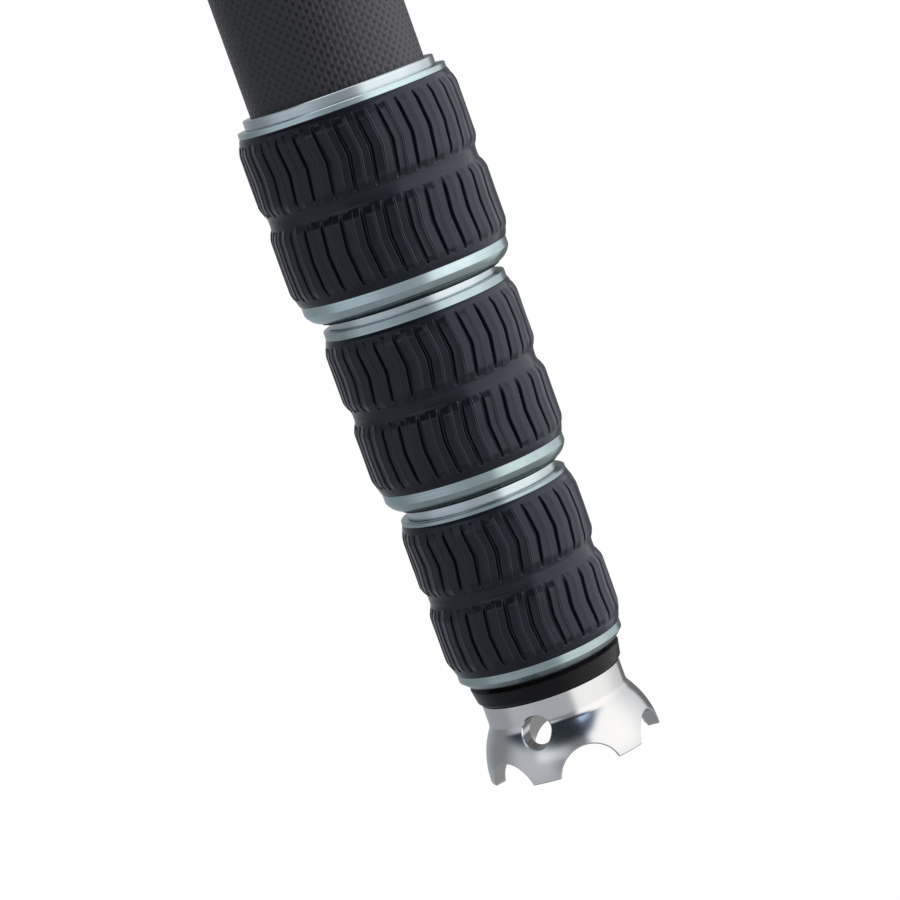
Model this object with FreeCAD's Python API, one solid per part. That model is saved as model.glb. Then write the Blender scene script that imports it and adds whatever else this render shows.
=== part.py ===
import FreeCAD, Part
import math
import os
from collections import namedtuple

# One leg of a camera tripod: four carbon tubes that slide inside each other, three twist locks and a
# steel claw foot. It is drawn collapsed, in millimetres. The leg's axis is Z, and the origin is the
# centre of the pivot bore at its top. Heights are measured up from the tips of the claw's teeth.

# Whole leg
pivot_height = 480.0          # pivot axis above the tooth tips, leg collapsed
running_clearance = 0.05      # radial play of a piece that slides or turns in another
loose_clearance = 0.30        # radial gap where a tube only passes through
edge_reach = 0.001            # an edge this near to a surface lies on it

# Tubes, from the top section down
tube_1_radius = 16.0
tube_2_radius = 14.0
tube_3_radius = 12.5
tube_4_radius = 11.0
tube_wall = 1.0
tube_top_gap = 3.0            # from the inner tubes' tops to the solid part of the yoke
key_groove_width = 4.0        # grooves inside the tubes stop the sections from turning
key_groove_depth = 0.4

# Guide shells that carry the top end of each inner tube
guide_length = 45.0
guide_split = 1.0             # slit between the two half shells
guide_peg_radius = 1.5
guide_peg_length = 0.9        # how far a peg reaches into its hole in the tube
guide_peg_drop = 10.0         # peg axis below the tube's top
guide_peg_angle = 40.0        # from -Y towards +X, clear of the key grooves

# Claw foot
claw_neck_radius = 12.92
claw_height = 13.85
claw_ball_radius = 16.0       # the bell is a part of a ball centred in the plane of the tooth tips
claw_neck_fillet = 2.5        # from the ball into the neck
claw_wall = 2.2               # at the tooth tips
claw_hollow_drop = 1.3        # centre of the hollow's ball below the tooth tips
claw_web = 2.3                # solid disc between the hollow and the stud
claw_teeth = 6
claw_arch_radius = 5.55
claw_arch_drop = 1.3          # centre of each arch below the tooth tips
claw_first_arch_angle = 6.0   # from the -Y side towards +X
claw_tooth_edge = 0.2         # rounding of the teeth's outer edges
cross_hole_radius = 2.75
cross_hole_height = 8.65
cross_hole_angle = -23.5
cross_hole_chamfer = 0.22
stud_radius = 4.7
stud_length = 13.0
stud_tip_chamfer = 0.8

# Foot plug, collar and washer at the end of the lowest tube
washer_thickness = 0.3
washer_radius = 12.4
plug_flange_height = 1.0
plug_length = 24.0
plug_hole_extra_depth = 2.0
collar_top_radius = 13.95
collar_low_radius = 13.5
collar_height = 3.05
collar_edge = 0.4

# Twist locks: shared sizes
thread_lead = 1.5             # travel of a lock nut in one turn
lock_turn_degrees = 180.0
neck_step = 0.35              # neck radius over thread radius
nut_wall = 0.85               # nut barrel outside the thread
nut_web = 2.0                 # inward lip at the bottom of the nut
nut_lip_chamfer = 0.15
nut_top_gap = 0.1             # between the nut's top and the neck's shoulder
recess_clearance = 0.20       # around the next neck, in the bottom of the nut
recess_spare_depth = 0.5
seal_height = 1.2
seal_width = 1.6
cone_height = 5.0
cone_gap = 0.1                # between the collet's cone and the nut's cone
collet_height = 12.0
collet_gap = 0.3              # between the collet's top and the tube's end
collet_slit_count = 6
collet_slit_width = 0.8
collet_split_width = 1.5
collet_slit_share = 0.7       # of the collet's height

# Twist locks: sizes of each one
neck_1_radius = 17.54
neck_2_radius = 15.46
neck_3_radius = 13.98
lip_1_radius = 19.1
lip_2_radius = 16.83
lip_3_radius = 15.35
ring_1_radius = 19.0
ring_2_radius = 16.83
ring_3_radius = 15.33
grip_1_radius = 20.1
grip_2_radius = 17.85
grip_3_radius = 16.32
grip_1_height = 30.7
grip_2_height = 28.75
grip_3_height = 28.3
lip_1_height = 1.2
lip_2_height = 1.65
lip_3_height = 0.9
ring_1_height = 4.0
ring_2_height = 3.9
ring_3_height = 2.8
edge_1_width = 2.5            # rounded or bevelled lower edge of each nut
edge_2_width = 2.23
edge_3_width = 1.23
edge_1_height = 2.2
edge_2_height = 2.1
edge_3_height = 1.2
edge_share_in = 0.32          # a point of the rounded edge, as shares of its width and of its
edge_share_up = 0.43          # height
grip_1_groove_count = 32
grip_2_groove_count = 28
grip_3_groove_count = 26
neck_1_show = 1.8             # neck above the nut's lip
neck_2_show = 1.6
neck_3_show = 2.0
foot_gap = 0.9                # between the lowest nut and the collar
neck_top_gap = 0.1            # between a neck's top and the nut above it

# Rubber grips: two rows of bent lands with a smooth waist between them
waist_drop = 0.78             # grip radius over waist radius
waist_flat = 1.8
waist_slope = 1.9
grip_end_drop = 0.78
grip_end_slope = 2.6
groove_width = 1.0
groove_margin = 0.9           # groove's outer end from the grip's end
upper_bend_top = -0.90        # sideways shift of a groove's ends from its apex
upper_bend_low = -1.15
lower_bend_top = 0.62
lower_bend_low = 0.62
groove_apex_share = 0.50      # apex height, as a share of the groove's length
upper_groove_1_angle = 5.65   # first groove of each row, from -Y towards +X
upper_groove_2_angle = 9.9
upper_groove_3_angle = 9.6
lower_groove_1_angle = 11.35
lower_groove_2_angle = 15.86
lower_groove_3_angle = 15.05

# Leg yoke and its bushes
yoke_socket_length = 30.0
yoke_socket_wall = 1.5
yoke_cap_height = 6.0
yoke_cap_chamfer = 1.0
tongue_width = 26.0
tongue_depth = 20.0
tongue_edge = 1.5             # rounding of the tongue's long edges
tongue_length = 32.0          # pivot axis above the top tube's end
pivot_radius = 4.0
bush_wall = 1.0
bush_length = 11.0
bush_flange_radius = 7.5
bush_flange_thickness = 1.0

# Levels and radii that follow from the sizes above
tooth_plane = -pivot_height
tube_1_top = -tongue_length
inner_tube_top = tube_1_top - tube_top_gap
lock_travel = thread_lead * lock_turn_degrees / 360.0
claw_top = tooth_plane + claw_height
collar_bottom = claw_top + washer_thickness
collar_top = collar_bottom + collar_height
tube_4_bottom = collar_bottom + plug_flange_height

Lock = namedtuple("Lock", "number outer_tube inner_tube neck lip ring grip grip_height lip_height "
                          "ring_height edge_width edge_height rounded grooves upper_angle lower_angle "
                          "bottom neck_top next_neck")


def stack_locks():
    """Stacks the three locks from the foot upwards, each with the size of its own tubes."""
    bottom_3 = collar_top + foot_gap
    lip_3 = bottom_3 + ring_3_height + grip_3_height + lip_3_height
    bottom_2 = lip_3 + neck_3_show
    lip_2 = bottom_2 + ring_2_height + grip_2_height + lip_2_height
    bottom_1 = lip_2 + neck_2_show
    lip_1 = bottom_1 + ring_1_height + grip_1_height + lip_1_height
    lock_1 = Lock(1, tube_1_radius, tube_2_radius, neck_1_radius, lip_1_radius, ring_1_radius,
                  grip_1_radius, grip_1_height, lip_1_height, ring_1_height, edge_1_width,
                  edge_1_height, True, grip_1_groove_count, upper_groove_1_angle, lower_groove_1_angle,
                  bottom_1, lip_1 + neck_1_show, neck_2_radius)
    lock_2 = Lock(2, tube_2_radius, tube_3_radius, neck_2_radius, lip_2_radius, ring_2_radius,
                  grip_2_radius, grip_2_height, lip_2_height, ring_2_height, edge_2_width,
                  edge_2_height, True, grip_2_groove_count, upper_groove_2_angle, lower_groove_2_angle,
                  bottom_2, bottom_1 - neck_top_gap, neck_3_radius)
    lock_3 = Lock(3, tube_3_radius, tube_4_radius, neck_3_radius, lip_3_radius, ring_3_radius,
                  grip_3_radius, grip_3_height, lip_3_height, ring_3_height, edge_3_width,
                  edge_3_height, False, grip_3_groove_count, upper_groove_3_angle, lower_groove_3_angle,
                  bottom_3, bottom_2 - neck_top_gap, None)
    return [lock_1, lock_2, lock_3]


def thread_radius(lock):
    return lock.neck - neck_step


def thread_bore(lock):
    return thread_radius(lock) + running_clearance


def barrel_radius(lock):
    return thread_bore(lock) + nut_wall


def recess_depth(lock):
    """Room under a nut for the neck below it, when the nut is screwed down to open the lock."""
    if lock.next_neck is None:
        return 0.0
    return lock_travel + recess_spare_depth


def web_top(lock):
    return lock.bottom + recess_depth(lock) + nut_web


def collet_bottom(lock):
    return web_top(lock) + seal_height + cone_gap


def tube_end(lock):
    """Level at which the lock's outer tube and sleeve end, just above the collet."""
    return collet_bottom(lock) + collet_height + collet_gap


def lip_top(lock):
    return lock.bottom + lock.ring_height + lock.grip_height + lock.lip_height


def turned(outline):
    """Solid of revolution about Z from a closed outline of (radius, height) points."""
    corners = [FreeCAD.Vector(radius, 0, height) for radius, height in outline]
    wire = Part.makePolygon(corners + [corners[0]])
    return Part.Face(wire).revolve(FreeCAD.Vector(0, 0, 0), FreeCAD.Vector(0, 0, 1), 360)


def turned_edges(edges):
    """Solid of revolution about Z from outline edges that include arcs."""
    face = Part.Face(Part.Wire(edges))
    return face.revolve(FreeCAD.Vector(0, 0, 0), FreeCAD.Vector(0, 0, 1), 360)


def ring(inner, outer, low, high):
    return turned([(inner, low), (outer, low), (outer, high), (inner, high)])


def spin(shape, angle):
    """Copy of a shape turned about the leg's axis."""
    copy = shape.copy()
    copy.rotate(FreeCAD.Vector(0, 0, 0), FreeCAD.Vector(0, 0, 1), angle)
    return copy


def radial_rod(radius, start, end, height, angle):
    """Round rod that points outwards from the axis, at an angle from -Y towards +X."""
    rod = Part.makeCylinder(radius, end - start, FreeCAD.Vector(0, -start, height), FreeCAD.Vector(0, -1, 0))
    return spin(rod, angle)


def middle_of(edge):
    return edge.valueAt((edge.FirstParameter + edge.LastParameter) / 2)


def cross_rod(radius, start, end):
    """Round rod along the pivot's axis."""
    return Part.makeCylinder(radius, end - start, FreeCAD.Vector(start, 0, 0), FreeCAD.Vector(1, 0, 0))


def carbon_tube(radius, low, high, keyed, peg_holes):
    """Carbon tube with key grooves inside and, on a sliding section, the holes for the guide pegs."""
    tube = ring(radius - tube_wall, radius, low, high)
    cuts = []
    if keyed:
        depth = radius - tube_wall + key_groove_depth
        for side in (0, 180):
            groove = Part.makeBox(depth, key_groove_width, high - low,
                                  FreeCAD.Vector(0, -key_groove_width / 2, low))
            cuts.append(spin(groove, side))
    if peg_holes:
        for angle in (guide_peg_angle, guide_peg_angle + 180):
            cuts.append(radial_rod(guide_peg_radius, radius - 2 * tube_wall, radius + tube_wall,
                                   high - guide_peg_drop, angle))
    return tube.cut(cuts) if cuts else tube


def guide_shells(radius, outer_radius):
    """Two half shells round a tube's top, with a key rib outside and a peg into the tube."""
    low = inner_tube_top - guide_length
    outside = outer_radius - tube_wall - running_clearance
    rib_radius = outer_radius - tube_wall + key_groove_depth - running_clearance
    rib_width = key_groove_width - 2 * running_clearance
    shell = ring(radius, outside, low, inner_tube_top)
    half_space = Part.makeBox(outer_radius, 2 * outer_radius, guide_length,
                              FreeCAD.Vector(guide_split / 2, -outer_radius, low))
    half = shell.common(half_space)
    rib_block = Part.makeBox(rib_radius, rib_width, guide_length, FreeCAD.Vector(0, -rib_width / 2, low))
    rib = rib_block.common(ring(radius, rib_radius, low, inner_tube_top))
    peg = radial_rod(guide_peg_radius - running_clearance, radius - guide_peg_length,
                     outside - running_clearance, inner_tube_top - guide_peg_drop, guide_peg_angle)
    right = half.fuse([rib, peg]).removeSplitter()
    return Part.makeCompound([right, spin(right, 180)])


def lock_sleeve(lock):
    """Threaded sleeve bonded round the end of the outer tube. Its neck shows above the nut."""
    thread = thread_radius(lock)
    shoulder = lip_top(lock) + nut_top_gap
    edge = nut_lip_chamfer
    return turned([(lock.outer_tube, tube_end(lock)), (thread - edge, tube_end(lock)),
                   (thread, tube_end(lock) + edge), (thread, shoulder), (lock.neck, shoulder),
                   (lock.neck, lock.neck_top - edge), (lock.neck - edge, lock.neck_top),
                   (lock.outer_tube, lock.neck_top)])


def lock_nut(lock):
    """Lock nut: a lip on top, a barrel under the rubber, and a ring with a web round the inner tube."""
    bottom = lock.bottom
    ring_top = bottom + lock.ring_height
    grip_top = ring_top + lock.grip_height
    top = lip_top(lock)
    bore = thread_bore(lock)
    barrel = barrel_radius(lock)
    pocket = lock.inner_tube + seal_width
    edge = nut_lip_chamfer
    pocket_top = web_top(lock) + seal_height
    web_bore = lock.inner_tube + loose_clearance
    foot_radius = lock.ring - lock.edge_width
    outside = [(lock.ring, bottom + lock.edge_height), (lock.ring, ring_top - edge),
               (lock.ring - edge, ring_top), (barrel, ring_top), (barrel, grip_top),
               (lock.lip - edge, grip_top), (lock.lip, grip_top + edge), (lock.lip, top - edge),
               (lock.lip - edge, top), (bore, top)]
    inside = [(bore, pocket_top + cone_height), (pocket, pocket_top), (pocket, web_top(lock)),
              (web_bore, web_top(lock))]
    if lock.next_neck is not None:
        recess = lock.next_neck + recess_clearance
        inside += [(web_bore, web_top(lock) - nut_web), (recess, web_top(lock) - nut_web), (recess, bottom)]
    else:
        inside += [(web_bore, bottom)]
    corners = [FreeCAD.Vector(radius, 0, height) for radius, height in outside + inside]
    edges = [Part.LineSegment(a, b).toShape() for a, b in zip(corners, corners[1:])]
    foot = FreeCAD.Vector(foot_radius, 0, bottom)
    edges.append(Part.LineSegment(corners[-1], foot).toShape())
    if lock.rounded:
        middle = FreeCAD.Vector(lock.ring - edge_share_in * lock.edge_width, 0,
                                bottom + edge_share_up * lock.edge_height)
        edges.append(Part.Arc(foot, middle, corners[0]).toShape())
    else:
        edges.append(Part.LineSegment(foot, corners[0]).toShape())
    return turned_edges(edges)


def lock_collet(lock):
    """Split nylon collet: the nut's cone squeezes it round the inner tube."""
    low = collet_bottom(lock)
    high = low + collet_height
    inner = lock.inner_tube + running_clearance
    foot = lock.inner_tube + seal_width - cone_gap
    outer = thread_bore(lock) - cone_gap
    body = turned([(inner, low), (foot, low), (outer, low + cone_height), (outer, high), (inner, high)])
    split = Part.makeBox(2 * outer, collet_split_width, collet_height,
                         FreeCAD.Vector(0, -collet_split_width / 2, low))
    cuts = [split]
    for index in range(1, collet_slit_count):
        slit = Part.makeBox(2 * outer, collet_slit_width, collet_slit_share * collet_height,
                            FreeCAD.Vector(0, -collet_slit_width / 2, low))
        cuts.append(spin(slit, index * 360.0 / collet_slit_count))
    return body.cut(cuts)


def lock_seal(lock):
    """Rubber wiper ring in the pocket under the collet."""
    inner = lock.inner_tube + running_clearance
    outer = lock.inner_tube + seal_width
    low = web_top(lock)
    middle = low + seal_height / 2
    return turned([(inner + loose_clearance, low), (outer, low), (outer, low + seal_height),
                   (inner + loose_clearance, low + seal_height), (inner, middle)])


def groove_cutter(radius, low, high, bend_low, bend_top):
    """Bent slot, as a flat chevron on the -Y side pushed outwards from the waist's radius."""
    half = groove_width / 2
    apex = low + groove_apex_share * (high - low)
    start = -(radius - waist_drop)
    right = [(bend_low + half, low), (half, apex), (bend_top + half, high)]
    left = [(bend_top - half, high), (-half, apex), (bend_low - half, low)]
    corners = [FreeCAD.Vector(x, start, z) for x, z in right + left]
    face = Part.Face(Part.makePolygon(corners + [corners[0]]))
    return face.extrude(FreeCAD.Vector(0, -2 * waist_drop, 0))


def lock_grip(lock):
    """Rubber grip: two rows of bent grooves, which meet the smooth waist between the rows."""
    low = lock.bottom + lock.ring_height
    high = low + lock.grip_height
    middle = (low + high) / 2
    inner = barrel_radius(lock)
    end = lock.grip - grip_end_drop
    waist = lock.grip - waist_drop
    half_flat = waist_flat / 2
    half_waist = half_flat + waist_slope
    body = turned([(inner, low), (end, low), (lock.grip, low + grip_end_slope),
                   (lock.grip, middle - half_waist), (waist, middle - half_flat),
                   (waist, middle + half_flat), (lock.grip, middle + half_waist),
                   (lock.grip, high - grip_end_slope), (end, high), (inner, high)])
    upper = groove_cutter(lock.grip, middle + half_flat, high - groove_margin,
                          upper_bend_low, upper_bend_top)
    lower = groove_cutter(lock.grip, low + groove_margin, middle - half_flat,
                          lower_bend_low, lower_bend_top)
    step = 360.0 / lock.grooves
    cuts = []
    for index in range(lock.grooves):
        cuts.append(spin(upper, lock.upper_angle + index * step))
        cuts.append(spin(lower, lock.lower_angle + index * step))
    return body.cut(cuts)


def is_straight(edge):
    return abs(edge.Length - edge.Vertexes[0].Point.distanceToPoint(edge.Vertexes[-1].Point)) < edge_reach


def claw_side():
    """Side of the bell: the ball up from the tooth tips, and the fillet into the neck."""
    reach = claw_ball_radius + claw_neck_fillet
    centre_out = claw_neck_radius + claw_neck_fillet
    centre_up = math.sqrt(reach ** 2 - centre_out ** 2)
    joint = math.atan2(centre_up, centre_out)
    on_ball = [FreeCAD.Vector(claw_ball_radius * math.cos(angle), 0,
                              tooth_plane + claw_ball_radius * math.sin(angle))
               for angle in (0, joint / 2, joint)]
    on_fillet = [FreeCAD.Vector(centre_out - claw_neck_fillet * math.cos(angle), 0,
                                tooth_plane + centre_up - claw_neck_fillet * math.sin(angle))
                 for angle in (joint, joint / 2, 0)]
    return [Part.Arc(*on_ball).toShape(), Part.Arc(*on_fillet).toShape()], on_ball[0], on_fillet[-1]


def claw_hollow_side():
    """Side of the hollow: a ball centred below the tooth tips, so the wall grows thicker upwards."""
    ball = math.hypot(claw_ball_radius - claw_wall, claw_hollow_drop)
    low = math.asin(claw_hollow_drop / ball)
    high = math.asin((claw_height - claw_web + claw_hollow_drop) / ball)
    points = [FreeCAD.Vector(ball * math.cos(angle), 0,
                             tooth_plane - claw_hollow_drop + ball * math.sin(angle))
              for angle in (high, (low + high) / 2, low)]
    return Part.Arc(*points).toShape(), points[0], points[-1]


def on_tooth_side(edge):
    """True for an edge between the outside of the ball and an arch, or the tooth plane."""
    point = middle_of(edge)
    height = point.z - tooth_plane
    off_ball = abs(math.hypot(point.x, point.y, height) - claw_ball_radius)
    return height < claw_arch_radius and off_ball < edge_reach


def on_hole_rim(edge):
    """True for an edge between the cross hole and the outside of the claw."""
    point = middle_of(edge)
    turn = math.radians(cross_hole_angle)
    sideways = point.x * math.cos(turn) + point.y * math.sin(turn)
    height = point.z - tooth_plane - cross_hole_height
    on_hole = abs(math.hypot(sideways, height) - cross_hole_radius) < edge_reach
    return on_hole and math.hypot(point.x, point.y) > claw_neck_radius - edge_reach and not is_straight(edge)


def claw_foot():
    """Steel claw with its stud: a round bell, cut by arches into teeth, with one cross hole."""
    outside, tip, neck = claw_side()
    inside, inner_roof, inner_tip = claw_hollow_side()
    stud_top = claw_top + stud_length
    outline = [neck, FreeCAD.Vector(claw_neck_radius, 0, claw_top), FreeCAD.Vector(stud_radius, 0, claw_top),
               FreeCAD.Vector(stud_radius, 0, stud_top - stud_tip_chamfer),
               FreeCAD.Vector(stud_radius - stud_tip_chamfer, 0, stud_top), FreeCAD.Vector(0, 0, stud_top),
               FreeCAD.Vector(0, 0, inner_roof.z), inner_roof]
    edges = outside + [Part.LineSegment(a, b).toShape() for a, b in zip(outline, outline[1:])]
    edges += [inside, Part.LineSegment(inner_tip, tip).toShape()]
    bell = turned_edges(edges)
    cuts = []
    for index in range(claw_teeth):
        angle = claw_first_arch_angle + index * 360.0 / claw_teeth
        cuts.append(radial_rod(claw_arch_radius, 0, 2 * claw_ball_radius,
                               tooth_plane - claw_arch_drop, angle))
    for angle in (cross_hole_angle, cross_hole_angle + 180):
        cuts.append(radial_rod(cross_hole_radius, 0, 2 * claw_ball_radius,
                               tooth_plane + cross_hole_height, angle))
    claw = bell.cut(cuts)
    claw = claw.makeChamfer(cross_hole_chamfer, [edge for edge in claw.Edges if on_hole_rim(edge)])
    return claw.makeFillet(claw_tooth_edge, [edge for edge in claw.Edges if on_tooth_side(edge)])


def foot_plug():
    """Aluminium plug bonded in the lowest tube, bored for the claw's stud."""
    bore = stud_radius + running_clearance
    hole_top = claw_top + stud_length + plug_hole_extra_depth
    top = collar_bottom + plug_length
    core = tube_4_radius - tube_wall
    return turned([(bore, collar_bottom), (tube_4_radius, collar_bottom), (tube_4_radius, tube_4_bottom),
                   (core, tube_4_bottom), (core, top), (0, top), (0, hole_top), (bore, hole_top)])


def foot_collar():
    """Black collar round the lowest tube's end, above the claw."""
    return turned([(tube_4_radius, collar_bottom), (collar_low_radius - collar_edge, collar_bottom),
                   (collar_low_radius, collar_bottom + collar_edge),
                   (collar_top_radius, collar_top - nut_lip_chamfer),
                   (collar_top_radius - nut_lip_chamfer, collar_top), (tube_4_radius, collar_top)])


def foot_washer():
    return ring(stud_radius + running_clearance, washer_radius, claw_top, collar_bottom)


def leg_yoke():
    """Cast yoke: a socket round the top tube, a cap, and a round-ended tongue for the pivot."""
    socket_radius = tube_1_radius + yoke_socket_wall
    socket_low = tube_1_top - yoke_socket_length
    cap_top = tube_1_top + yoke_cap_height
    edge = nut_lip_chamfer
    body = turned([(tube_1_radius, socket_low), (socket_radius - edge, socket_low),
                   (socket_radius, socket_low + edge), (socket_radius, cap_top - yoke_cap_chamfer),
                   (socket_radius - yoke_cap_chamfer, cap_top), (0, cap_top), (0, tube_1_top),
                   (tube_1_radius, tube_1_top)])
    half_width = tongue_width / 2
    half_depth = tongue_depth / 2
    stem = Part.makeBox(tongue_width, tongue_depth, tongue_length,
                        FreeCAD.Vector(-half_width, -half_depth, tube_1_top))
    knuckle = cross_rod(half_depth, -half_width, half_width)
    tongue = stem.fuse(knuckle).removeSplitter()
    rims = [edge for edge in tongue.Edges if abs(abs(middle_of(edge).x) - half_width) < edge_reach
            and middle_of(edge).z > tube_1_top + edge_reach]
    tongue = tongue.makeFillet(tongue_edge, rims)
    yoke = body.fuse(tongue).removeSplitter()
    return yoke.cut(cross_rod(pivot_radius + bush_wall, -tongue_width, tongue_width))


def yoke_bushes():
    """Two flanged bushes, one pressed in from each side of the tongue."""
    face = tongue_width / 2
    barrel = cross_rod(pivot_radius + bush_wall, face - bush_length, face)
    flange = cross_rod(bush_flange_radius, face, face + bush_flange_thickness)
    bush = barrel.fuse(flange).removeSplitter().cut(cross_rod(pivot_radius, 0, tongue_width))
    return Part.makeCompound([bush, spin(bush, 180)])


def build_leg():
    """All pieces by name."""
    locks = stack_locks()
    ends = [tube_end(lock) for lock in locks]
    pieces = {
        "leg_yoke": leg_yoke(),
        "yoke_bushes": yoke_bushes(),
        "tube_1": carbon_tube(tube_1_radius, ends[0], tube_1_top, True, False),
        "tube_2": carbon_tube(tube_2_radius, ends[1], inner_tube_top, True, True),
        "tube_3": carbon_tube(tube_3_radius, ends[2], inner_tube_top, True, True),
        "tube_4": carbon_tube(tube_4_radius, tube_4_bottom, inner_tube_top, False, True),
        "tube_2_guides": guide_shells(tube_2_radius, tube_1_radius),
        "tube_3_guides": guide_shells(tube_3_radius, tube_2_radius),
        "tube_4_guides": guide_shells(tube_4_radius, tube_3_radius),
        "foot_plug": foot_plug(),
        "foot_collar": foot_collar(),
        "foot_washer": foot_washer(),
        "claw_foot": claw_foot(),
    }
    for lock in locks:
        name = f"lock_{lock.number}"
        pieces[f"{name}_sleeve"] = lock_sleeve(lock)
        pieces[f"{name}_nut"] = lock_nut(lock)
        pieces[f"{name}_grip"] = lock_grip(lock)
        pieces[f"{name}_collet"] = lock_collet(lock)
        pieces[f"{name}_seal"] = lock_seal(lock)
    return pieces


def print_travel():
    """Travel of each section, from the collapsed leg to where its guides meet the collet below."""
    for lock in stack_locks():
        travel = inner_tube_top - guide_length - (collet_bottom(lock) + collet_height)
        print(f"section {lock.number + 1} travel {travel:.2f} mm, nut travel {lock_travel:.3f} mm")


os.makedirs("parts", exist_ok=True)
for node, shape in build_leg().items():
    shape.exportStep(f"parts/{node}.step")
    print(f"{node:16s} solids {len(shape.Solids)} valid {shape.isValid()} volume {shape.Volume:10.2f} mm3")
print_travel()
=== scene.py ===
"""Looks of a carbon tripod leg: woven tubes, anodised twist locks in moulded rubber, a polished steel claw.

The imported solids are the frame. The rubber grips are worked out here as numpy surfaces, and every solid
gets the finish of its real material. Lengths are in metres, the leg's axis is Z and -Y faces the camera.
"""

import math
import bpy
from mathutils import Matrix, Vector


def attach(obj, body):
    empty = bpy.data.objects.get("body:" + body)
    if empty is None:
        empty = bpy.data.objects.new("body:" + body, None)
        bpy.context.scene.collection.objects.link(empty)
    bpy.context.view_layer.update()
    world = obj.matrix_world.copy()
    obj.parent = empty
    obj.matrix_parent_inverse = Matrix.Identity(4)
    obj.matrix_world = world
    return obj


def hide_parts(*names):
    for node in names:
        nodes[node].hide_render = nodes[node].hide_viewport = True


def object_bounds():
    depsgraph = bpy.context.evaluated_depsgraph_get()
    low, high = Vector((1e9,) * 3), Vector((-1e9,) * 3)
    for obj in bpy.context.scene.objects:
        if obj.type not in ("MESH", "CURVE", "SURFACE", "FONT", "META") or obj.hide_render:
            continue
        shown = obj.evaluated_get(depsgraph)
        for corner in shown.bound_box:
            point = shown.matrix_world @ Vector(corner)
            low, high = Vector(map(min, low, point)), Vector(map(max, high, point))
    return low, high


bl_info = {
    "name": "Carbon tripod leg",
    "version": (1, 0, 0),
    "blender": (4, 5, 0),
    "location": "View3D > Sidebar > Tripod leg",
    "description": "Moulds the grips of a tripod leg and gives every piece its finish",
    "category": "Object",
}

import bpy
import numpy as np
from bpy.props import FloatProperty, FloatVectorProperty, PointerProperty
from mathutils import Euler, Vector

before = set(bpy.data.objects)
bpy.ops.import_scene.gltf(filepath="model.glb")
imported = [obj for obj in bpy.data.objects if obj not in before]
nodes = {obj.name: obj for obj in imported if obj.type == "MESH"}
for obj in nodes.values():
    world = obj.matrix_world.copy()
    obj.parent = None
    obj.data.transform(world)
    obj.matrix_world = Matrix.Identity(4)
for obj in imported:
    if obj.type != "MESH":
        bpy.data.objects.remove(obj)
cad_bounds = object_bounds()

MM = 0.001

# Width of the steep side of a hairline crease, and how close the columns of the grid stand to a steep side
# so that its shading doesn't run onto the land beside it
CREASE_FLANK = 0.13 * MM
COLUMN_GUARD = 0.04 * MM


def linear(code, alpha=False):
    """Linear colour of an sRGB hex code."""
    parts = [int(code[i:i + 2], 16) / 255 for i in (1, 3, 5)]
    colour = [p / 12.92 if p <= 0.04045 else ((p + 0.055) / 1.055) ** 2.4 for p in parts]
    return colour + [1.0] if alpha else colour


def length(name, description, default, smallest=0.0, largest=0.1):
    """Setting for a length in metres."""
    return FloatProperty(name=name, description=description, default=default, min=smallest, max=largest,
                         unit="LENGTH", precision=5)


def paint(name, description, code):
    """Setting for a colour, with its default as an sRGB hex code."""
    return FloatVectorProperty(name=name, description=description, default=linear(code), size=3,
                               min=0.0, max=1.0, subtype="COLOR")


class CarbonSettings(bpy.types.PropertyGroup):
    yarn_pitch: length("Yarn pitch", "Width of one yarn of the plain weave", 0.92 * MM)
    # The lighter warp colour is partly painted sheen and the dark weft colour partly painted shade
    warp_tone_and_sheen: paint("Warp", "Mesh of the yarns along the tube and of the gaps", "#302f36")
    weft_tone_and_shade: paint("Weft", "Crowns of the yarns round the tube", "#0a0a0c")


class GripSettings(bpy.types.PropertyGroup):
    rubber_colour: paint("Rubber", "Moulded rubber of the grips", "#25272f")
    groove_width: length("Groove width", "Width of a groove at its bend", 0.82 * MM)
    groove_depth: length("Groove depth", "Depth of a groove below the lands", 0.9 * MM)
    groove_edge: length("Groove edge", "Half the width of a groove's rounded edge", 0.09 * MM)
    crease_height: length("Crease height", "Height of the two hairline steps along a land", 0.1 * MM)
    crease_gap: length("Crease gap", "Distance between the two hairline steps", 0.36 * MM)
    pocket_width: length("Pocket width", "Width of the wedge beside each end of a groove", 1.65 * MM)
    pocket_height: length("Pocket height", "Height of that wedge", 1.15 * MM)


class MetalSettings(bpy.types.PropertyGroup):
    nut_colour: paint("Nuts", "Dyed anodic layer on the lock nuts", "#bfd1d3")
    sleeve_colour: paint("Sleeves", "Plain anodic layer on the threaded sleeves", "#c8d2d6")
    steel_colour: paint("Steel", "Polished stainless steel of the claw", "#d2d1d0")


class StudioSettings(bpy.types.PropertyGroup):
    camera_distance: length("Camera distance", "From the leg's axis, level", 583.05 * MM, largest=5.0)
    camera_height: length("Camera height", "Above the tips of the claw's teeth", 146.75 * MM, largest=5.0)
    room_level: FloatProperty(name="Room", description="Level of the room without its lights",
                              default=0.34, min=0.0)
    matt_level: FloatProperty(name="Fill", description="Level of the room on matt surfaces",
                              default=0.1, min=0.0)
    right_light: FloatProperty(name="Right light", description="Level that the large right-hand light adds",
                               default=1.2, min=0.0)
    left_light: FloatProperty(name="Left light", description="Level that the small left-hand light adds",
                              default=0.42, min=0.0)
    top_light: FloatProperty(name="Top light", description="Level of the light overhead",
                             default=1.4, min=0.0)
    table_level: FloatProperty(name="Table", description="Level of the pale table below the leg",
                               default=0.38, min=0.0)


def settings():
    """All settings of the leg in the open scene."""
    return bpy.context.scene.tripod_leg


class LegSettings(bpy.types.PropertyGroup):
    carbon: PointerProperty(type=CarbonSettings)
    grip: PointerProperty(type=GripSettings)
    metal: PointerProperty(type=MetalSettings)
    studio: PointerProperty(type=StudioSettings)


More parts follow.
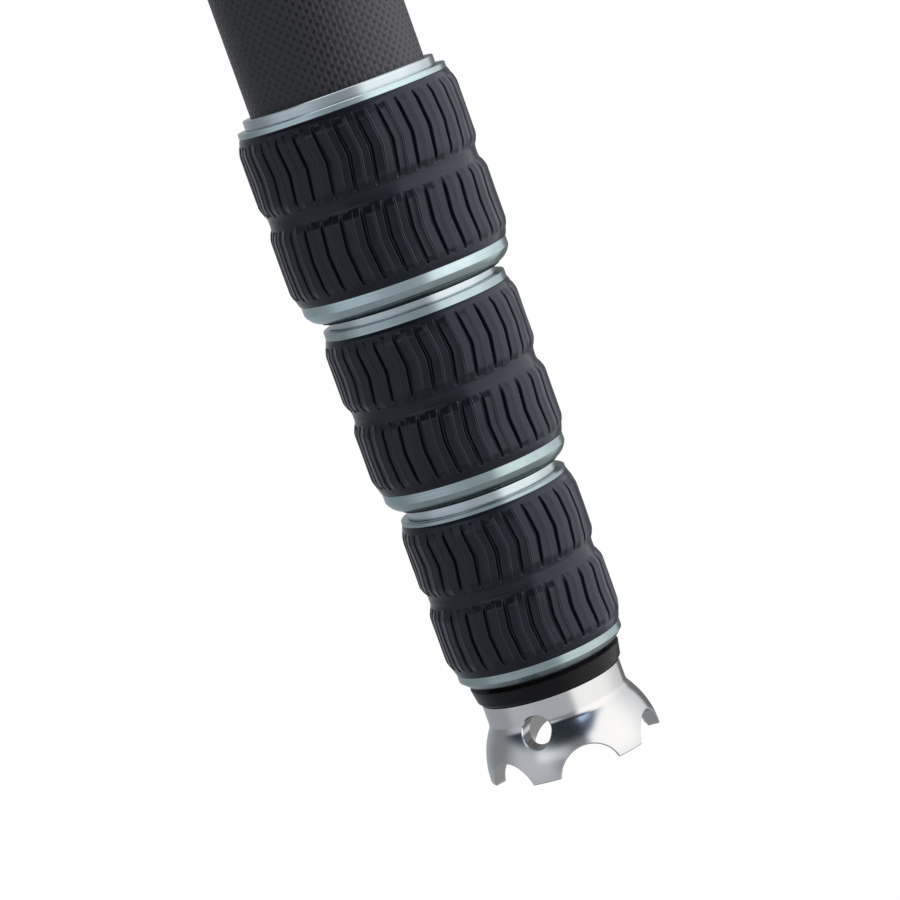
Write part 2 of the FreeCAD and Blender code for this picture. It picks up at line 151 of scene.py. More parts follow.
def add(tree, kind, inputs=None, **values):
    """Adds a node, gives it its settings, and sets or links its inputs."""
    node = tree.nodes.new(kind)
    for key, value in values.items():
        setattr(node, key, value)
    for key, value in (inputs or {}).items():
        if isinstance(value, bpy.types.NodeSocket):
            tree.links.new(value, node.inputs[key])
        else:
            node.inputs[key].default_value = value
    return node


def maths(tree, operation, *inputs):
    """Output of a math node on numbers or sockets."""
    return add(tree, "ShaderNodeMath", dict(enumerate(inputs)), operation=operation).outputs[0]


def product(tree, first, *others):
    """Product of numbers or sockets."""
    for other in others:
        first = maths(tree, "MULTIPLY", first, other)
    return first


def mix(tree, factor, first, second):
    """Number between two numbers or sockets."""
    return add(tree, "ShaderNodeMix", {"Factor": factor, "A": first, "B": second}).outputs["Result"]


def ease(tree, value, start, end, low=0.0, high=1.0):
    """Value carried smoothly from one range to another, and held at its ends."""
    inputs = {"Value": value, "From Min": start, "From Max": end, "To Min": low, "To Max": high}
    return add(tree, "ShaderNodeMapRange", inputs, interpolation_type="SMOOTHSTEP").outputs["Result"]


def window(tree, value, rise_start, rise_end, fall_start, fall_end):
    """1 between two soft edges, and 0 outside them."""
    rise = ease(tree, value, rise_start, rise_end)
    return product(tree, rise, ease(tree, value, fall_start, fall_end, 1.0, 0.0))


def new_material(name, **constants):
    """Material with one Principled shader whose constants stand on its own sockets."""
    material = bpy.data.materials.new(name)
    material.use_nodes = True
    tree = material.node_tree
    shader = tree.nodes["Principled BSDF"]
    for key, value in constants.items():
        shader.inputs[key.replace("_", " ")].default_value = value
    return material, tree, shader


def on_object(tree):
    """Object coordinates, split, with the angle round the leg's axis from -Y towards +X."""
    place = add(tree, "ShaderNodeTexCoord").outputs["Object"]
    split = add(tree, "ShaderNodeSeparateXYZ", {0: place})
    back = product(tree, split.outputs["Y"], -1.0)
    angle = maths(tree, "ARCTAN2", split.outputs["X"], back)
    return place, split.outputs["Z"], angle


def blend_colours(tree, factor, first, second):
    """Colour between two colours or sockets."""
    node = add(tree, "ShaderNodeMix", {"Factor": factor, "A": first, "B": second}, data_type="RGBA")
    return node.outputs["Result"]


def rgba(colour, share=1.0):
    """Colour times a share, with a full alpha."""
    return [channel * share for channel in colour[:3]] + [1.0]


def noise(tree, place, scale, detail):
    """Level of a noise texture at a place, from 0 to 1."""
    inputs = {"Vector": place, "Scale": scale, "Detail": detail}
    return add(tree, "ShaderNodeTexNoise", inputs).outputs["Fac"]


def lathe_lines(tree, height, angle, breaks, rings):
    """Noise drawn out into rings round the leg's axis.

    Breaks is how often a ring changes in one radian, and rings how many there are in a metre.
    """
    place = add(tree, "ShaderNodeCombineXYZ", {"X": product(tree, angle, breaks),
                                               "Z": product(tree, height, rings)}).outputs[0]
    return noise(tree, place, 1.0, 2.0)


def raise_surface(tree, shader, relief, strength, distance):
    """Bumps the shader's surface by a relief from 0 to 1, which stands for the given distance."""
    bump = add(tree, "ShaderNodeBump", {"Strength": strength, "Distance": distance, "Height": relief})
    tree.links.new(bump.outputs["Normal"], shader.inputs["Normal"])


def dress(node, material):
    """Gives a solid of the frame its material."""
    slots = nodes[node].data.materials
    slots.clear()
    slots.append(material)


def woven_carbon(name, radius):
    """Plain-weave carbon tube, wrapped and sanded under a satin clear coat.

    The product of two sines over the yarn pitch is 1 in the middle of a warp square and -1 in the middle
    of a weft square, so the two kinds stand in a checker. The weft shows as dark round crowns, and all
    else is a lighter mesh. These two colours are partly the weave's own tone and partly painted
    reflection: the mesh is lighter for the sheen it takes and the crowns darker for the light they miss.
    The mesh scatters the light more widely, so it lights up beside a bright reflection while the crowns
    stay dark. In the relief a warp yarn is round across its width, along the tube's turn, and a weft yarn
    along its length.
    """
    look = settings().carbon
    fibres_across_yarn, fibre_breaks = 4.0, 0.4 / MM
    patches_in_metre = 95.0
    roundness = 0.7
    material, tree, shader = new_material(name)
    place, height, angle = on_object(tree)
    yarns = 2 * round(math.pi * radius / look.yarn_pitch)
    across = maths(tree, "SINE", product(tree, angle, yarns / 2))
    along = maths(tree, "SINE", product(tree, height, math.pi / look.yarn_pitch))
    mesh = ease(tree, product(tree, across, along), -0.6, 0.0)

    fibre_place = add(tree, "ShaderNodeCombineXYZ", {"X": product(tree, angle, yarns * fibres_across_yarn),
                                                     "Y": product(tree, height, fibre_breaks)}).outputs[0]
    fibre = noise(tree, fibre_place, 1.0, 3.0)
    patch = noise(tree, place, patches_in_metre, 2.0)
    fibre_shade = ease(tree, fibre, 0.3, 0.7, 0.75, 1.0)
    patch_shade = ease(tree, patch, 0.3, 0.7, 0.8, 1.0)
    shade = product(tree, mesh, fibre_shade, patch_shade)
    # Painted reflection in part: the mesh colour is lighter for its sheen, the weft crowns darker
    colour = blend_colours(tree, shade, rgba(look.weft_tone_and_shade), rgba(look.warp_tone_and_sheen))
    tree.links.new(colour, shader.inputs["Base Color"])
    tree.links.new(ease(tree, mesh, 0.0, 1.0, 0.2, 0.5), shader.inputs["Roughness"])
    tree.links.new(ease(tree, mesh, 0.0, 1.0, 0.4, 0.62), shader.inputs["Specular IOR Level"])

    round_warp = maths(tree, "POWER", maths(tree, "ABSOLUTE", across), roundness)
    round_weft = maths(tree, "POWER", maths(tree, "ABSOLUTE", along), roundness)
    crown = mix(tree, mesh, round_weft, round_warp)
    relief = maths(tree, "ADD", crown, product(tree, fibre, 0.3))
    raise_surface(tree, shader, relief, 0.8, 0.1 * MM)
    return material


def anodised_aluminium(name, colour, shade_tone=1.0):
    """Turned aluminium with a satin anodic layer: a soft metal sheen drawn out in rings.

    Tone is painted shade: a share of the colour from 0 to 1 that darkens the nuts lower on the leg.
    """
    material, tree, shader = new_material(name, Metallic=1.0, Roughness=0.24)
    place, height, angle = on_object(tree)
    lines = lathe_lines(tree, height, angle, breaks=0.8, rings=7000.0)
    cloud = noise(tree, place, 260.0, 3.0)
    shade = maths(tree, "ADD", product(tree, lines, 0.6), product(tree, cloud, 0.4))
    base = rgba(colour, shade_tone)
    colour = blend_colours(tree, ease(tree, shade, 0.3, 0.7), rgba(base, 0.82), base)
    tree.links.new(colour, shader.inputs["Base Color"])
    raise_surface(tree, shader, lines, 0.12, 0.02 * MM)
    return material


def polished_steel():
    """Turned and polished stainless steel: clear reflections, with faint rings left by the lathe."""
    material, tree, shader = new_material("stainless_steel_polished", Metallic=1.0)
    place, height, angle = on_object(tree)
    lines = lathe_lines(tree, height, angle, breaks=0.6, rings=5000.0)
    smear = noise(tree, place, 120.0, 4.0)
    base = rgba(settings().metal.steel_colour)
    tree.links.new(blend_colours(tree, smear, rgba(base, 0.93), base), shader.inputs["Base Color"])
    tree.links.new(ease(tree, smear, 0.3, 0.7, 0.15, 0.21), shader.inputs["Roughness"])
    raise_surface(tree, shader, lines, 0.06, 0.01 * MM)
    return material


def plain_finish(name, code, grain_size, grain_depth, **constants):
    """Even material with a fine grain, given by its size and depth: cast, moulded or sintered."""
    material, tree, shader = new_material(name, **constants)
    place = add(tree, "ShaderNodeTexCoord").outputs["Object"]
    grain = noise(tree, place, 1.0 / grain_size, 3.0)
    base = linear(code, alpha=True)
    tree.links.new(blend_colours(tree, grain, rgba(base, 0.86), base), shader.inputs["Base Color"])
    raise_surface(tree, shader, grain, 0.4, grain_depth)
    return material


def moulded_rubber():
    """Moulded rubber: nearly black, with a bluish sheen and the fine grain of its mould."""
    grain_size, cloud_size = 0.35 * MM, 4.0 * MM
    material, tree, shader = new_material("rubber_moulded", Roughness=0.18, Specular_IOR_Level=0.34,
                                          Specular_Tint=linear("#e2eaff", alpha=True))
    place = add(tree, "ShaderNodeTexCoord").outputs["Object"]
    grain = noise(tree, place, 1.0 / grain_size, 3.0)
    cloud = noise(tree, place, 1.0 / cloud_size, 2.0)
    base = rgba(settings().grip.rubber_colour)
    colour = blend_colours(tree, ease(tree, cloud, 0.3, 0.7), rgba(base, 0.85), base)
    tree.links.new(colour, shader.inputs["Base Color"])
    raise_surface(tree, shader, grain, 0.15, 0.03 * MM)
    return material


def smooth_step(value, start, end):
    """Array that rises smoothly from 0 at start to 1 at end."""
    share = np.clip((value - start) / (end - start), 0.0, 1.0)
    return share * share * (3.0 - 2.0 * share)


def rounded_line(at, knots, values, reach):
    """Values along a broken line through the knots, with its corners rounded over the given reach.

    The line is averaged over evenly spread points to both sides, up to half the reach away.
    """
    offsets = np.linspace(-0.5, 0.5, 9) * reach
    return np.mean([np.interp(at + offset, knots, values) for offset in offsets], axis=0)


def mesh_from_rings(name, x, y, z, material):
    """Closed surface from a grid of points: rows go once round the section, columns once round the axis."""
    rows, columns = x.shape
    points = np.stack([x, y, z], axis=-1).reshape(-1, 3)
    row, column = np.meshgrid(np.arange(rows), np.arange(columns), indexing="ij")
    next_row = (row + 1) % rows
    next_column = (column + 1) % columns
    corners = [row * columns + column, row * columns + next_column,
               next_row * columns + next_column, next_row * columns + column]
    faces = np.stack(corners, axis=-1).reshape(-1, 4)
    mesh = bpy.data.meshes.new(name)
    mesh.vertices.add(len(points))
    mesh.vertices.foreach_set("co", points.astype(np.float32).ravel())
    mesh.loops.add(faces.size)
    mesh.loops.foreach_set("vertex_index", faces.astype(np.int32).ravel())
    mesh.polygons.add(len(faces))
    mesh.polygons.foreach_set("loop_start", np.arange(0, faces.size, 4, dtype=np.int32))
    mesh.polygons.foreach_set("loop_total", np.full(len(faces), 4, dtype=np.int32))
    mesh.polygons.foreach_set("use_smooth", np.ones(len(faces), dtype=bool))
    mesh.update(calc_edges=True)
    mesh.validate()
    mesh.materials.append(material)
    piece = bpy.data.objects.new(name, mesh)
    bpy.context.scene.collection.objects.link(piece)
    return piece


def node_points(node):
    """All vertices of a solid of the frame, as an array."""
    mesh = nodes[node].data
    flat = np.zeros(len(mesh.vertices) * 3)
    mesh.vertices.foreach_get("co", flat)
    return flat.reshape(-1, 3)


class LEG_OT_weave_tubes(bpy.types.Operator):
    """Gives the four carbon tubes their weave"""
    bl_idname = "leg.weave_tubes"
    bl_label = "Weave tubes"

    def execute(self, context):
        for number in (1, 2, 3, 4):
            points = node_points(f"tube_{number}")
            radius = float(np.hypot(points[:, 0], points[:, 1]).max())
            dress(f"tube_{number}", woven_carbon(f"carbon_plain_weave_{number}", radius))
        return {"FINISHED"}


def paint_shade_line_under_nut(number, material):
    """Thin black sheet under a lock nut's flat underside: painted shade, reflected as a dark line in the
    neck.

    It is a flat ring between the nut's recess and its outer rounding.
    """
    thickness, spokes, flatness = 0.22 * MM, 180, 0.01 * MM
    points = node_points(f"lock_{number}_nut")
    bottom = points[:, 2].min()
    under = points[points[:, 2] < bottom + flatness]
    radii = np.hypot(under[:, 0], under[:, 1])
    radius = np.array([radii.min(), radii.max(), radii.max(), radii.min()])[:, None]
    level = bottom - np.array([thickness, thickness, 0.0, 0.0])[:, None] + np.zeros((1, spokes))
    angle = (np.arange(spokes) * 2 * math.pi / spokes)[None, :]
    x, y = radius * np.sin(angle), -radius * np.cos(angle)
    piece = mesh_from_rings(f"lock_{number}_seat", x, y, level, material)
    piece.data.shade_flat()
    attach(piece, f"lock_{number}_nut")


class LEG_OT_anodise_locks(bpy.types.Operator):
    """Gives the lock nuts and threaded sleeves their anodised finish"""
    bl_idname = "leg.anodise_locks"
    bl_label = "Anodise locks"

    def execute(self, context):
        look = settings().metal
        sleeve_finish = anodised_aluminium("anodised_aluminium_sleeve", look.sleeve_colour)
        # Painted shade: nuts 2 and 3 are darker copies of the same colour, for the dimmer light lower on the
        # leg
        shade_tones = {1: 1.0, 2: 0.82, 3: 0.72}
        for number, shade_tone in shade_tones.items():
            name = f"anodised_aluminium_nut_{number}"
            dress(f"lock_{number}_nut", anodised_aluminium(name, look.nut_colour, shade_tone))
            dress(f"lock_{number}_sleeve", sleeve_finish)
        # Painted shade: black sheets under nuts 1 and 2, which their necks reflect as dark lines
        shade_sheet = plain_finish("painted_shade_sheet", "#0c0c0d", 0.3 * MM, 0.01 * MM, Roughness=0.6,
                            Specular_IOR_Level=0.2)
        for number in (1, 2):
            paint_shade_line_under_nut(number, shade_sheet)
        return {"FINISHED"}


class LEG_OT_fit_inner_parts(bpy.types.Operator):
    """Gives the collets, guide shells and seals inside the leg their finish"""
    bl_idname = "leg.fit_inner_parts"
    bl_label = "Fit inner parts"

    def execute(self, context):
        nylon = plain_finish("nylon_moulded", "#c9c6bc", 0.5 * MM, 0.02 * MM, Roughness=0.45,
                             Subsurface_Weight=0.1)
        rubber = plain_finish("rubber_seal", "#1c1c1d", 0.3 * MM, 0.02 * MM, Roughness=0.5)
        for number in (1, 2, 3):
            dress(f"lock_{number}_collet", nylon)
            dress(f"lock_{number}_seal", rubber)
            dress(f"tube_{number + 1}_guides", nylon)
        return {"FINISHED"}


def between(value, start, end, reach):
    """Array that is 1 from start to end, with smooth flanks of the given width inside them."""
    return smooth_step(value, start, start + reach) * (1 - smooth_step(value, end - reach, end))


def crowded_levels(low, high, changes, fade_ends):
    """Levels from low to high: evenly spread, and close together round each level where a shape changes.

    A pocket fades so gently that one level at its end is enough, which keeps a grip under 200,000 triangles.
    """
    even_step, fine_step = 1.6 * MM, 0.05 * MM
    near = [change + np.array([-0.45, -0.25, -0.1, 0.0, 0.1, 0.25, 0.45]) * MM for change in changes]
    ends = np.array([0.0, 0.1, 0.2, 0.3]) * MM
    wanted = np.concatenate(near + [fade_ends, np.arange(low, high, even_step), low + ends, high - ends])
    levels = low + fine_step * np.unique(np.round((wanted - low) / fine_step))
    return np.append(levels[(levels >= low) & (levels < high - fine_step)], high)


def side_corners(low, middle, high):
    """Heights of the corners of a grip's side and their depths: drawn in at both ends and at the waist."""
    end_drop, end_slope = 0.78 * MM, 2.6 * MM
    waist_drop, half_flat, waist_slope = 0.78 * MM, 0.9 * MM, 1.9 * MM
    heights = [low, low + end_slope, middle - half_flat - waist_slope, middle - half_flat,
               middle + half_flat, middle + half_flat + waist_slope, high - end_slope, high]
    return heights, [end_drop, 0, 0, waist_drop, waist_drop, 0, 0, end_drop]


def row_heights(low, middle, high):
    """Start, bend and end of the lower row of lands, and then of the upper row."""
    lower_start, lower_end = low + 1.25 * MM, middle - 1.15 * MM
    upper_start, upper_end = middle + 1.25 * MM, high - 0.95 * MM
    return [lower_start, (lower_start + lower_end) / 2, lower_end,
            upper_start, (upper_start + upper_end) / 2, upper_end]


def columns_of_land(land_pitch, creases, look):
    """Columns of the grid from the centre line of one groove to that of the next.

    Each is a fixed distance from the first centre line, plus a share of half the groove's width. They
    crowd at the edges of the grooves, at the pocket's edge and at the steep side of each crease.
    """
    flank_columns = np.array([-COLUMN_GUARD, 0.0, CREASE_FLANK / 3, 2 * CREASE_FLANK / 3, CREASE_FLANK,
                              CREASE_FLANK + COLUMN_GUARD])
    crease_columns = np.concatenate([crease + flank_columns for crease in creases])
    pocket_columns = [look.pocket_width, look.pocket_width + COLUMN_GUARD, creases[0] - look.crease_gap]
    land_columns = np.sort(np.concatenate([pocket_columns, crease_columns]))
    shares = np.array([0.0, 0.3, 0.5, 0.7, 0.88, 1.0, 1.0])
    edges = np.array([0.0, 0.0, 0.0, 0.0, 0.5, 1.0, 1.0]) * look.groove_edge
    edges[-1] += COLUMN_GUARD
    fixed = np.concatenate([edges, land_columns, land_pitch - edges[:0:-1]])
    share = np.concatenate([shares, np.zeros(len(land_columns)), -shares[:0:-1]])
    return fixed, share


def wedge_pockets(rise, across, pockets, look):
    """Depth of the pockets: deepest beside a groove, and fading away from it and into the row."""
    steep, fade_start = 0.25 * MM, 0.35 * MM
    depth = 0.0
    for end, inwards, deepest in pockets:
        into_row = (rise - end) * inwards
        fading = 1 - smooth_step(into_row, fade_start, look.pocket_height)
        depth = depth + deepest * smooth_step(into_row, 0.0, steep) * fading
    return depth * np.clip(1 - across / look.pocket_width, 0.0, 1.0)


def mould_grip(number, groove_count, upper_angle, lower_angle, material):
    """Rubber grip as one closed ring, with two rows of bent lands on a smooth core.

    Radius = outline(height) - (outline - groove floor) * groove - wedge + crease. The outline rises from
    both ends to the lands and dips at the waist. Groove is 1 inside a strip along a bent line over the
    height, which leans one way in the upper row and the other way in the lower row, and 0 outside, with
    rounded edges. The strip is widest at its bend. Wedge is a shallow pocket to the right of each end of
    a groove. Crease is two hairline steps along the middle of each land that face right. The columns of
    the grid follow the bent line, and those of a groove also its width. The angles are those of one
    groove's bend in each row.
    """
    look = settings().grip
    node = f"lock_{number}_grip"
    points = node_points(node)
    radii = np.hypot(points[:, 0], points[:, 1])
    inner, outer = radii.min(), radii.max()
    low, high = points[:, 2].min(), points[:, 2].max()
    middle = (low + high) / 2
    rows = row_heights(low, middle, high)
    lower_start, _, lower_end, upper_start, _, upper_end = rows
    pockets = [(lower_start, 1, 0.16 * MM), (lower_end, -1, 0.2 * MM),
               (upper_start, 1, 0.2 * MM), (upper_end, -1, 0.16 * MM)]
    pocket_ends = [end + inwards * look.pocket_height for end, inwards, _ in pockets]
    corners, drops = side_corners(low, middle, high)
    height = crowded_levels(low, high, corners[1:-1] + rows, pocket_ends)
    lip_drop, lip_height = 0.3 * MM, 0.25 * MM
    outline = outer - look.crease_height - rounded_line(height, corners, drops, 0.9 * MM)
    outline -= lip_drop * (1 - between(height, low, high, lip_height))

    pitch = 2 * math.pi / groove_count
    lower_angle += pitch * round((upper_angle - lower_angle) / pitch)
    leans = np.array([0.62, 0.0, 0.72, -1.05, 0.0, -0.85]) * MM / outer
    shifts = np.repeat([lower_angle, upper_angle], 3) + leans
    lean = rounded_line(height, rows, shifts, 1.2 * MM)[:, None]
    end_shares = [0.75, 1.0, 0.95, 0.7, 1.0, 0.7]
    half_width = look.groove_width / 2 * rounded_line(height, rows, end_shares, 1.5 * MM)[:, None]

    land_pitch = pitch * outer
    creases = land_pitch / 2 + np.array([-0.5, 0.5]) * look.crease_gap
    fixed, share = columns_of_land(land_pitch, creases, look)
    across = np.tile(fixed, groove_count)[None, :] + np.tile(share, groove_count)[None, :] * half_width
    groove_angle = np.repeat(np.arange(groove_count) * pitch, len(fixed))[None, :]
    angle = groove_angle + across / outer + lean
    from_groove = np.minimum(np.abs(across), np.abs(across - land_pitch))

    rise = height[:, None]
    row_edge = 0.4 * MM
    in_row = (between(rise, lower_start, lower_end, row_edge)
              + between(rise, upper_start, upper_end, row_edge))
    groove = in_row * (1 - smooth_step(from_groove, 0.35 * half_width, half_width + look.groove_edge))
    wedge = wedge_pockets(rise, across, pockets, look)
    crease = sum(np.clip(1 - (at - across) / look.crease_gap, 0.0, 1.0)
                 * (1 - smooth_step(across, at, at + CREASE_FLANK)) for at in creases)
    base = outline[:, None]
    floor = outer - look.groove_depth
    radius = np.maximum(base - (base - floor) * groove - wedge, floor)
    radius = np.minimum(radius + look.crease_height * crease * in_row, outer)

    columns = radius.shape[1]
    radius = np.vstack([radius, np.full((2, columns), inner)])
    angle = np.vstack([angle, angle[-1:], angle[:1]])
    level = np.vstack([np.repeat(rise, columns, axis=1), np.full((1, columns), high),
                       np.full((1, columns), low)])
    x, y = radius * np.sin(angle), -radius * np.cos(angle)
    piece = mesh_from_rings(f"{node}_moulded", x, y, level, material)
    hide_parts(node)
    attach(piece, f"lock_{number}_nut")


class LEG_OT_mould_grips(bpy.types.Operator):
    """Moulds the three rubber grips"""
    bl_idname = "leg.mould_grips"
    bl_label = "Mould grips"

    def execute(self, context):
        rubber = moulded_rubber()
        grips = [(1, 32, 5.65, 0.1), (2, 28, 9.9, 3.0), (3, 26, 9.6, 1.2)]
        for number, groove_count, upper_angle, lower_angle in grips:
            mould_grip(number, groove_count, math.radians(upper_angle), math.radians(lower_angle), rubber)
        return {"FINISHED"}


class LEG_OT_polish_foot(bpy.types.Operator):
    """Gives the claw, its collar, washer and plug their finish"""
    bl_idname = "leg.polish_foot"
    bl_label = "Polish foot"

    def execute(self, context):
        dress("claw_foot", polished_steel())
        dress("foot_collar", plain_finish("acetal_turned_black", "#101012", 0.4 * MM, 0.01 * MM,
                                          Roughness=0.3, Specular_IOR_Level=0.2))
        dress("foot_washer", plain_finish("rubber_washer", "#1a1a1b", 0.3 * MM, 0.01 * MM, Roughness=0.6))
        dress("foot_plug", plain_finish("aluminium_turned", "#c3c4c6", 0.4 * MM, 0.01 * MM, Metallic=1.0,
                                        Roughness=0.3))
        return {"FINISHED"}


class LEG_OT_cast_yoke(bpy.types.Operator):
    """Gives the yoke and its bushes their finish"""
    bl_idname = "leg.cast_yoke"
    bl_label = "Cast yoke"

    def execute(self, context):
        dress("leg_yoke", plain_finish("aluminium_blasted_black", "#26272a", 0.25 * MM, 0.05 * MM,
                                       Metallic=1.0, Roughness=0.5))
        dress("yoke_bushes", plain_finish("bronze_sintered", "#a9774a", 0.2 * MM, 0.02 * MM, Metallic=1.0,
                                          Roughness=0.38))
        return {"FINISHED"}


def aim_camera():
    """Camera at the photograph's place: level distance and height, then its pitch, yaw and roll."""
    look = settings().studio
    tooth_plane = cad_bounds[0][2]
    pitch, yaw, roll = math.radians(8.551), math.radians(0.283), math.radians(-19.792)
    camera_data = bpy.data.cameras.new("camera")
    camera_data.sensor_width = 36.0
    camera_data.lens = 133.52
    camera_data.clip_end = 100.0
    camera = bpy.data.objects.new("camera", camera_data)
    bpy.context.scene.collection.objects.link(camera)
    camera.location = (0.0, -look.camera_distance, tooth_plane + look.camera_height)
    upright = Euler((math.pi / 2 - pitch, 0.0, yaw)).to_matrix()
    turned = upright @ Euler((0.0, 0.0, roll)).to_matrix()
    camera.rotation_euler = turned.to_euler()
    bpy.context.scene.camera = camera


def add_sun(name, azimuth, elevation, spread, strength):
    """Soft distant light on matt surfaces, from an azimuth, from -Y towards +X, and an elevation.

    Shiny surfaces see the lights that are part of the room instead.
    """
    sun = bpy.data.lights.new(name, "SUN")
    sun.energy = strength
    sun.angle = math.radians(spread)
    lamp = bpy.data.objects.new(name, sun)
    lamp.visible_glossy = False
    bpy.context.scene.collection.objects.link(lamp)
    turn, lift = math.radians(azimuth), math.radians(elevation)
    away = Vector((math.sin(turn) * math.cos(lift), -math.cos(turn) * math.cos(lift), math.sin(lift)))
    lamp.rotation_euler = away.to_track_quat("Z", "Y").to_euler()


def wall_level(tree, turn, lift, right):
    """Level of the room's walls and of the table below them, by the direction's turn and lift in degrees.

    The large light on the right and the small one on the left stand out of a dim room, and the walls
    beyond the right-hand light are nearly dark. Below eye height the lights are a little weaker and the
    dim walls lighter, and far below lies a pale table. A soft glint stands left of the camera, a little
    above it.
    """
    look = settings().studio
    left = product(tree, window(tree, turn, -112, -75, -45, -15), look.left_light)
    behind = ease(tree, maths(tree, "ABSOLUTE", turn), 125, 165, 0.0, 0.15)
    dim = maths(tree, "ADD", maths(tree, "ADD", left, behind), look.room_level)
    level = maths(tree, "ADD", product(tree, right, look.right_light), dim)
    level = product(tree, level, ease(tree, lift, -14, -2, 0.88, 1.0))
    low = product(tree, ease(tree, lift, -8.5, -2, 0.64, 0.3), ease(tree, turn, -80, -30, 0.75, 1.0))
    level = maths(tree, "MAXIMUM", level, low)
    level = product(tree, level, ease(tree, turn, 136, 146, 1.0, 0.17))
    beneath = ease(tree, lift, -42, -24, 1.0, 0.0)
    level = mix(tree, beneath, level, look.table_level)
    glint = product(tree, window(tree, turn, -58, -46, -20, 4), window(tree, lift, 8, 14, 20, 27), 0.6)
    return maths(tree, "ADD", level, glint)


def ceiling_band(tree, turn, lift):
    """1 in the dark band above the camera, whose lower edge rises to the right, and 0 outside it."""
    edge = ease(tree, turn, 20, 66, 26, 42)
    above_edge = ease(tree, maths(tree, "SUBTRACT", lift, edge), -5, 7)
    below_opening = ease(tree, lift, 58, 70, 1.0, 0.0)
    return product(tree, above_edge, below_opening, window(tree, turn, -132, -112, 72, 86))


def light_room():
    """White room with a large soft light on the right, a small one on the left and a dark ceiling band.

    The camera sees plain white, matt surfaces see an even fill, and shiny ones a level that depends on
    the direction: its turn from -Y towards +X and its lift above level, both in degrees. The band above
    the camera is dark and bluish. A small lamp in it and what is overhead are bright.
    """
    look = settings().studio
    world = bpy.data.worlds.new("white_room")
    bpy.context.scene.world = world
    world.use_nodes = True
    tree = world.node_tree
    background = tree.nodes["Background"]
    ray = add(tree, "ShaderNodeLightPath").outputs
    seen = maths(tree, "MAXIMUM", ray["Is Camera Ray"], ray["Is Transmission Ray"])
    direction = add(tree, "ShaderNodeTexCoord").outputs["Generated"]
    split = add(tree, "ShaderNodeSeparateXYZ", {0: direction})
    in_degrees = 180 / math.pi
    lift = product(tree, maths(tree, "ARCSINE", split.outputs["Z"]), in_degrees)
    back = product(tree, split.outputs["Y"], -1.0)
    turn = product(tree, maths(tree, "ARCTAN2", split.outputs["X"], back), in_degrees)

    right = product(tree, ease(tree, turn, 17, 29), ease(tree, turn, 72, 138, 1.0, 0.55))
    band = ceiling_band(tree, turn, lift)
    band_depth = product(tree, band, 0.88)
    level = product(tree, wall_level(tree, turn, lift, right), maths(tree, "SUBTRACT", 1.0, band_depth))
    lamp = product(tree, window(tree, turn, 22, 30, 46, 54), ease(tree, lift, 44, 48))
    overhead = maths(tree, "MAXIMUM", ease(tree, lift, 62, 75), lamp)
    level = mix(tree, overhead, level, look.top_light)
    level = mix(tree, ray["Is Glossy Ray"], look.matt_level, level)
    level = mix(tree, seen, level, 1.0)
    tree.links.new(level, background.inputs["Strength"])

    white = linear("#ffffff", alpha=True)
    tint = blend_colours(tree, right, linear("#f2f8ff", alpha=True), white)
    tint = blend_colours(tree, band, tint, linear("#c8e0ff", alpha=True))
    tint = blend_colours(tree, seen, tint, white)
    tree.links.new(tint, background.inputs["Color"])


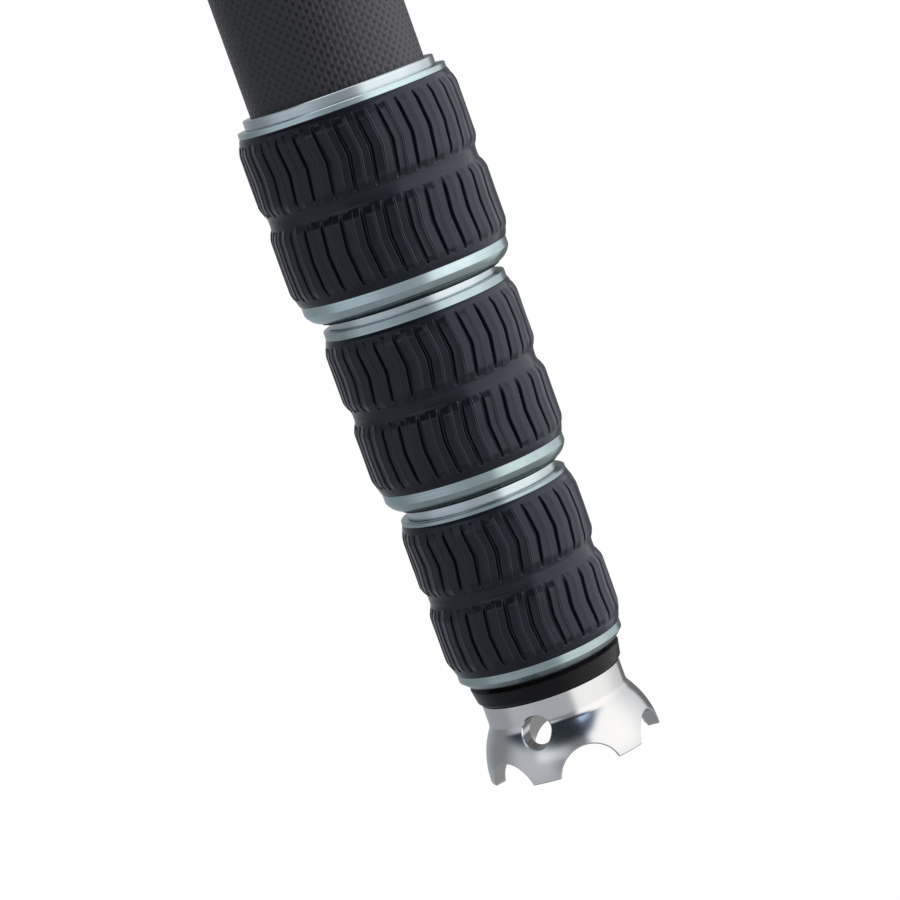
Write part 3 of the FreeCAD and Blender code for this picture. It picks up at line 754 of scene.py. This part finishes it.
def lay_floor():
    """Pale round floor below the fully drawn out leg. It keeps the shadow and fades to white far out."""
    radius, level, rings, spokes = 2.2, -1.55, 24, 96
    fade_start, fade_end = 0.7, 1.6
    material, tree, shader = new_material("floor_paper", Roughness=0.9)
    shader.inputs["Base Color"].default_value = linear("#f4f4f4", alpha=True)
    place = add(tree, "ShaderNodeTexCoord").outputs["Object"]
    split = add(tree, "ShaderNodeSeparateXYZ", {0: place})
    flat = add(tree, "ShaderNodeCombineXYZ", {"X": split.outputs["X"], "Y": split.outputs["Y"]}).outputs[0]
    reach = add(tree, "ShaderNodeVectorMath", {0: flat}, operation="LENGTH").outputs["Value"]
    ray = add(tree, "ShaderNodeLightPath").outputs
    seen = maths(tree, "MAXIMUM", ray["Is Camera Ray"], ray["Is Transmission Ray"])
    glow = product(tree, seen, ease(tree, reach, fade_start, fade_end))
    white = add(tree, "ShaderNodeEmission", {"Color": (1, 1, 1, 1), "Strength": 1.0}).outputs[0]
    mixed = add(tree, "ShaderNodeMixShader", {0: glow, 1: shader.outputs[0], 2: white}).outputs[0]
    tree.links.new(mixed, tree.nodes["Material Output"].inputs["Surface"])
    distance = np.linspace(0.001, radius, rings)[:, None]
    angle = (np.arange(spokes) * 2 * math.pi / spokes)[None, :]
    heights = np.full((rings, spokes), level)
    points = np.stack([distance * np.cos(angle), distance * np.sin(angle), heights], axis=-1).reshape(-1, 3)
    ring, spoke = np.meshgrid(np.arange(rings - 1), np.arange(spokes), indexing="ij")
    after = (spoke + 1) % spokes
    corners = [ring * spokes + spoke, (ring + 1) * spokes + spoke,
               (ring + 1) * spokes + after, ring * spokes + after]
    faces = np.stack(corners, axis=-1).reshape(-1, 4).tolist()
    faces.append(list(range(spokes)))
    mesh = bpy.data.meshes.new("floor")
    mesh.from_pydata(points.tolist(), [], faces)
    mesh.materials.append(material)
    floor = bpy.data.objects.new("floor", mesh)
    floor.visible_glossy = False
    bpy.context.scene.collection.objects.link(floor)


class LEG_OT_light_stage(bpy.types.Operator):
    """Sets up the camera, the lights, the white room and the floor"""
    bl_idname = "leg.light_stage"
    bl_label = "Light stage"

    def execute(self, context):
        bpy.context.scene.view_settings.view_transform = "Standard"
        aim_camera()
        light_room()
        lay_floor()
        add_sun("right_softbox", azimuth=88.0, elevation=8.0, spread=40.0, strength=5.0)
        add_sun("top_softbox", azimuth=75.0, elevation=75.0, spread=50.0, strength=1.0)
        add_sun("rear_softbox", azimuth=-150.0, elevation=20.0, spread=60.0, strength=1.5)
        return {"FINISHED"}


class LEG_PT_sidebar(bpy.types.Panel):
    """Sizes, colours and steps of the tripod leg"""
    bl_idname = "LEG_PT_sidebar"
    bl_label = "Tripod leg"
    bl_space_type = "VIEW_3D"
    bl_region_type = "UI"
    bl_category = "Tripod leg"

    def draw(self, context):
        for group in (settings().carbon, settings().grip, settings().metal, settings().studio):
            box = self.layout.box()
            for key in group.__annotations__:
                box.prop(group, key)
        for operator in OPERATORS:
            self.layout.operator(operator.bl_idname)


OPERATORS = (LEG_OT_weave_tubes, LEG_OT_anodise_locks, LEG_OT_fit_inner_parts, LEG_OT_mould_grips,
             LEG_OT_polish_foot, LEG_OT_cast_yoke, LEG_OT_light_stage)
SETTINGS = (CarbonSettings, GripSettings, MetalSettings, StudioSettings, LegSettings)
CLASSES = SETTINGS + OPERATORS + (LEG_PT_sidebar,)


def register():
    for kind in CLASSES:
        bpy.utils.register_class(kind)
    bpy.types.Scene.tripod_leg = PointerProperty(type=LegSettings)


def unregister():
    del bpy.types.Scene.tripod_leg
    for kind in reversed(CLASSES):
        bpy.utils.unregister_class(kind)


def main():
    register()
    bpy.ops.leg.weave_tubes()
    bpy.ops.leg.anodise_locks()
    bpy.ops.leg.fit_inner_parts()
    bpy.ops.leg.mould_grips()
    bpy.ops.leg.polish_foot()
    bpy.ops.leg.cast_yoke()
    bpy.ops.leg.light_stage()


if __name__ == "__main__":
    main()
